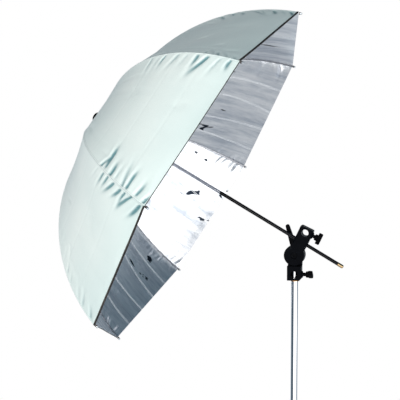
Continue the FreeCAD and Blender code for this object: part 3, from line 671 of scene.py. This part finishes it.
def tip_stitches():
    """The pale thread that ties each corner of the cloth to its rib's tip."""
    for k in range(RIBS):
        low, high = (np.array(c, float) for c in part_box(f"rib_tip_{k + 1}"))
        centre = (low + high) / 2
        out = heading(rib_angle(k))
        along = math.cos(RIM_SLOPE) * out + math.sin(RIM_SLOPE) * DOWN
        normal = math.sin(RIM_SLOPE) * out - math.cos(RIM_SLOPE) * DOWN
        side = np.cross(along, normal)
        curve = bpy.data.curves.new(f"tip_stitch_{k + 1}", "CURVE")
        curve.dimensions = "3D"
        curve.bevel_depth = THREAD_R
        curve.bevel_resolution = 2
        spline = curve.splines.new("POLY")
        steps = 48
        turns = 3
        spline.points.add(steps)
        for i in range(steps + 1):
            t = i / steps
            angle = 2 * math.pi * turns * t
            p = centre + along * (-0.0030 + 0.0022 * t)
            p = p + 0.0025 * (math.cos(angle) * normal + math.sin(angle) * side)
            spline.points[i].co = (*p, 1)
        curve.materials.append(THREAD)
        stitch = bpy.data.objects.new(f"tip_stitch_{k + 1}", curve)
        bpy.context.scene.collection.objects.link(stitch)
        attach(stitch, f"rib_{k + 1}")


# ---------------------------------------------------------------- lights and camera
CAMERA_PLACE = Vector((0.2775, -2.1587, 0.6664))
CAMERA_RIGHT = Vector((0.9744, 0.2250, 0.0))
CAMERA_UP = Vector((-0.0157, 0.0680, 0.9976))
CAMERA_AHEAD = Vector((-0.2244, 0.9720, -0.0698))
KEY_POWER = 48


def area_light(name, place, aim, size, power, colour=(1, 1, 1)):
    data = bpy.data.lights.new(name, "AREA")
    data.shape = "SQUARE"
    data.size = size
    data.energy = power
    data.color = colour
    lamp = bpy.data.objects.new(name, data)
    lamp.location = place
    way = Vector(aim) - Vector(place)
    lamp.rotation_euler = way.to_track_quat("-Z", "Y").to_euler()
    bpy.context.scene.collection.objects.link(lamp)


def lights():
    """A big soft key from beside the camera, and the studio round the object."""
    area_light("key_front", (-0.75, -2.70, 0.95), (-0.25, 0, 0.60), 1.0, KEY_POWER, (1.0, 0.97, 0.92))
    bpy.context.scene.world = room()
    bpy.context.scene.view_settings.view_transform = "Standard"


DARK_SIDE = (0.085, 0.125, 0.160)
# the studio at the object's own level, by the heading it lies in (0 is -X, 0.25 is -Y, 0.5 is +X)
LEVEL_STEPS = (
    (0.00, DARK_SIDE),
    (0.185, DARK_SIDE),
    (0.215, (1.6, 1.6, 1.6)),
    (0.36, (1.6, 1.6, 1.6)),
    (0.38, (2.6, 2.6, 2.6)),
    (0.455, (2.6, 2.6, 2.6)),
    (0.50, (0.28, 0.34, 0.39)),
    (0.63, (0.28, 0.34, 0.39)),
    (0.68, (0.74, 0.82, 0.88)),
    (0.93, (0.74, 0.82, 0.88)),
    (0.97, DARK_SIDE),
)
CEILING = (0.020, 0.070, 0.110)
GROUND = (0.42, 0.45, 0.48)


def room():
    """Plain white to look at. To light the object it has a white front and back, a dark left side,
    a dim bluish ceiling and a grey floor, which give the silver and the chrome something to mirror."""
    world = bpy.data.worlds.new("studio")
    world.use_nodes = True
    tree = world.node_tree
    back = tree.nodes["Background"]

    def link(kind, settings, *sources):
        made = tree.nodes.new(kind)
        for key, value in settings.items():
            setattr(made, key, value)
        for index, source in sources:
            if isinstance(source, bpy.types.NodeSocket):
                tree.links.new(source, made.inputs[index])
            else:
                made.inputs[index].default_value = source
        return made

    way = tree.nodes.new("ShaderNodeTexCoord").outputs["Generated"]
    apart = link("ShaderNodeSeparateXYZ", {}, (0, way))
    angle = link("ShaderNodeMath", {"operation": "ARCTAN2"}, (0, apart.outputs[1]), (1, apart.outputs[0]))
    to_share = ((0, angle.outputs[0]), (1, 0.5 / math.pi), (2, 0.5))
    part = link("ShaderNodeMath", {"operation": "MULTIPLY_ADD"}, *to_share)
    level = link("ShaderNodeValToRGB", {}, (0, part.outputs[0]))
    steps = level.color_ramp.elements
    steps[0].position, steps[0].color = LEVEL_STEPS[0][0], (*LEVEL_STEPS[0][1], 1)
    steps[1].position, steps[1].color = LEVEL_STEPS[-1][0], (*LEVEL_STEPS[-1][1], 1)
    for position, colour in LEVEL_STEPS[1:-1]:
        steps.new(position).color = (*colour, 1)
    light = level.outputs[0]
    for start, end, colour in ((0.12, 0.38, CEILING), (-0.50, -0.75, GROUND)):
        share = link("ShaderNodeMapRange", {}, (0, apart.outputs[2]), (1, start), (2, end))
        between = ((0, share.outputs[0]), (6, light), (7, (*colour, 1)))
        light = link("ShaderNodeMix", {"data_type": "RGBA"}, *between).outputs[2]
    seen = tree.nodes.new("ShaderNodeLightPath")
    pick = link(
        "ShaderNodeMix",
        {"data_type": "RGBA"},
        (0, seen.outputs["Is Camera Ray"]),
        (6, light),
        (7, (1.0, 1.0, 1.0, 1)),
    )
    tree.links.new(pick.outputs[2], back.inputs[0])
    return world


def camera():
    data = bpy.data.cameras.new("camera")
    data.sensor_width = 36.0
    data.lens = 86.4
    data.clip_end = 200.0
    eye = bpy.data.objects.new("camera", data)
    turn = Matrix((CAMERA_RIGHT, CAMERA_UP, -CAMERA_AHEAD)).transposed()
    eye.matrix_world = Matrix.Translation(CAMERA_PLACE) @ turn.to_4x4()
    bpy.context.scene.collection.objects.link(eye)
    bpy.context.scene.camera = eye


camera()
lights()
dress_nodes()
canopy()
tip_stitches()
